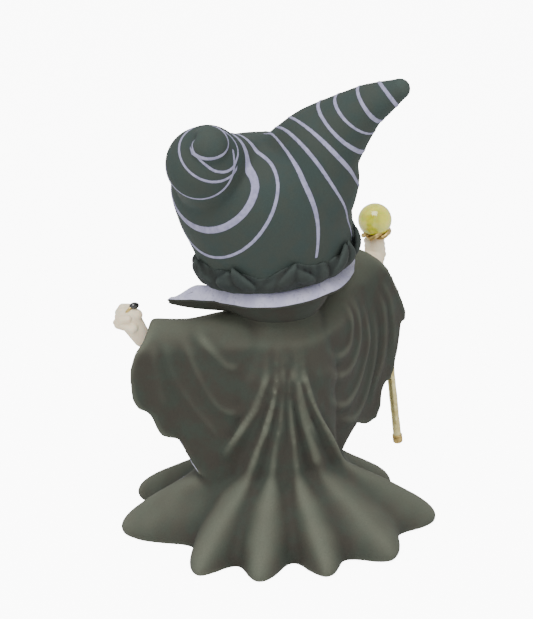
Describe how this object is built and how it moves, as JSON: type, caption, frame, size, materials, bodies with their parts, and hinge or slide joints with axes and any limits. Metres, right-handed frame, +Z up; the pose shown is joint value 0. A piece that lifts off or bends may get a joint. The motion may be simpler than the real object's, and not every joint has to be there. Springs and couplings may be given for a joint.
{
  "type": "animated witch figure",
  "caption": "Battery tabletop witch figure in a draped robe and two-peaked striped hat; its head turns and both arms sway from one geared motor, one hand holding a staff with a glossy bead.",
  "frame": {"origin": "centre of the base plate's underside, under the neck shaft's axis", "axes": "+Z up along the neck shaft; the figure faces -Y, its left hand is at +X"},
  "size_m": [0.1587, 0.1276, 0.2094],
  "materials": {
    "base_plastic": "moulded, matte",
    "screw_steel": "zinc-plated",
    "cell_wrap": "printed wrap, gloss",
    "circuit_board": "solder mask",
    "black_plastic": "moulded",
    "gear_plastic": "natural acetal",
    "brass_parts": "pale gold, satin",
    "skin_paint": "matte skin paint on moulded resin",
    "robe_paint": "matte dark olive paint with lighter ridges",
    "collar_paint": "matte lavender paint, dark underneath",
    "gold_trim": "gold paint, satin",
    "eye_gloss": "gloss",
    "hat_paint": "matte dark grey-green paint with lavender stripes",
    "ring_stone": "polished black",
    "orb_gloss": "pearly yellow-green, gloss"
  },
  "bodies": {
    "base": {"base_plate": "base_plastic", "mount_ring": "base_plastic", "base_screw_1": "screw_steel", "base_screw_2": "screw_steel", "base_screw_3": "screw_steel", "base_screw_4": "screw_steel", "battery_box": "base_plastic", "battery_cell_1": "cell_wrap", "battery_cell_2": "cell_wrap", "top_contact": "screw_steel", "circuit_board": "circuit_board", "switch_body": "screw_steel", "tower_post_1": "screw_steel", "tower_post_2": "screw_steel", "tower_post_3": "screw_steel", "tower_post_4": "screw_steel", "lower_plate": "gear_plastic", "upper_plate": "gear_plastic", "gear_motor": "screw_steel", "left_pivot_pin": "screw_steel", "right_pivot_pin": "screw_steel", "robe_rear": "robe_paint", "robe_front": "robe_paint", "left_sleeve": "robe_paint", "right_sleeve": "robe_paint", "collar": "collar_paint", "clasp": "gold_trim", "battery_wire": "black_plastic", "motor_wire": "black_plastic"},
    "door": {"battery_door": "base_plastic", "door_contact": "screw_steel", "door_screw": "screw_steel"},
    "switch": {"switch_knob": "black_plastic"},
    "motor_gear": {"motor_pinion": "gear_plastic"},
    "head": {"neck_shaft": "screw_steel", "thrust_collar": "brass_parts", "main_gear": "gear_plastic", "neck_pinion": "gear_plastic", "head_hub": "gear_plastic", "head": "skin_paint", "left_eye": "eye_gloss", "right_eye": "eye_gloss", "hat_liner": "base_plastic", "hat_crown": "hat_paint", "hat_hem": "hat_paint", "left_peak": "hat_paint", "right_peak": "hat_paint"},
    "left_arm": {"left_arm": "skin_paint", "left_hand": "skin_paint", "finger_ring": "gold_trim", "ring_stone": "ring_stone"},
    "right_arm": {"right_arm": "skin_paint", "right_hand": "skin_paint", "staff": "brass_parts", "orb": "orb_gloss", "orb_claw": "gold_trim", "staff_ferrule": "gold_trim"}
  },
  "joints": [
    {"name": "head_turn", "type": "hinge", "parent": "base", "child": "head", "pos_m": [0, 0, 0.1], "axis": [0, 0, 1], "range_deg": [-20, 20]},
    {"name": "motor_spin", "type": "hinge", "parent": "base", "child": "motor_gear", "pos_m": [0, -0.0156, 0.08], "axis": [0, 0, 1], "range_deg": [-67.5, 67.5]},
    {"name": "left_arm_sway", "type": "hinge", "parent": "base", "child": "left_arm", "pos_m": [0.01773, -0.00313, 0.086], "axis": [0, 0, 1], "range_deg": [-4.1, 4.1]},
    {"name": "right_arm_sway", "type": "hinge", "parent": "base", "child": "right_arm", "pos_m": [-0.01773, -0.00313, 0.086], "axis": [0, 0, 1], "range_deg": [-4.1, 4.1]},
    {"name": "door_out", "type": "slide", "parent": "base", "child": "door", "axis": [0, 0, -1], "range_m": [0, 0.015]},
    {"name": "switch_slide", "type": "slide", "parent": "base", "child": "switch", "axis": [1, 0, 0], "range_m": [0, 0.0034]}
  ],
  "couplings": [
    {"joint": "motor_spin", "follows": "head_turn", "ratio": -3.3333},
    {"joint": "left_arm_sway", "follows": "head_turn", "ratio": -0.2},
    {"joint": "right_arm_sway", "follows": "head_turn", "ratio": -0.2}
  ]
}
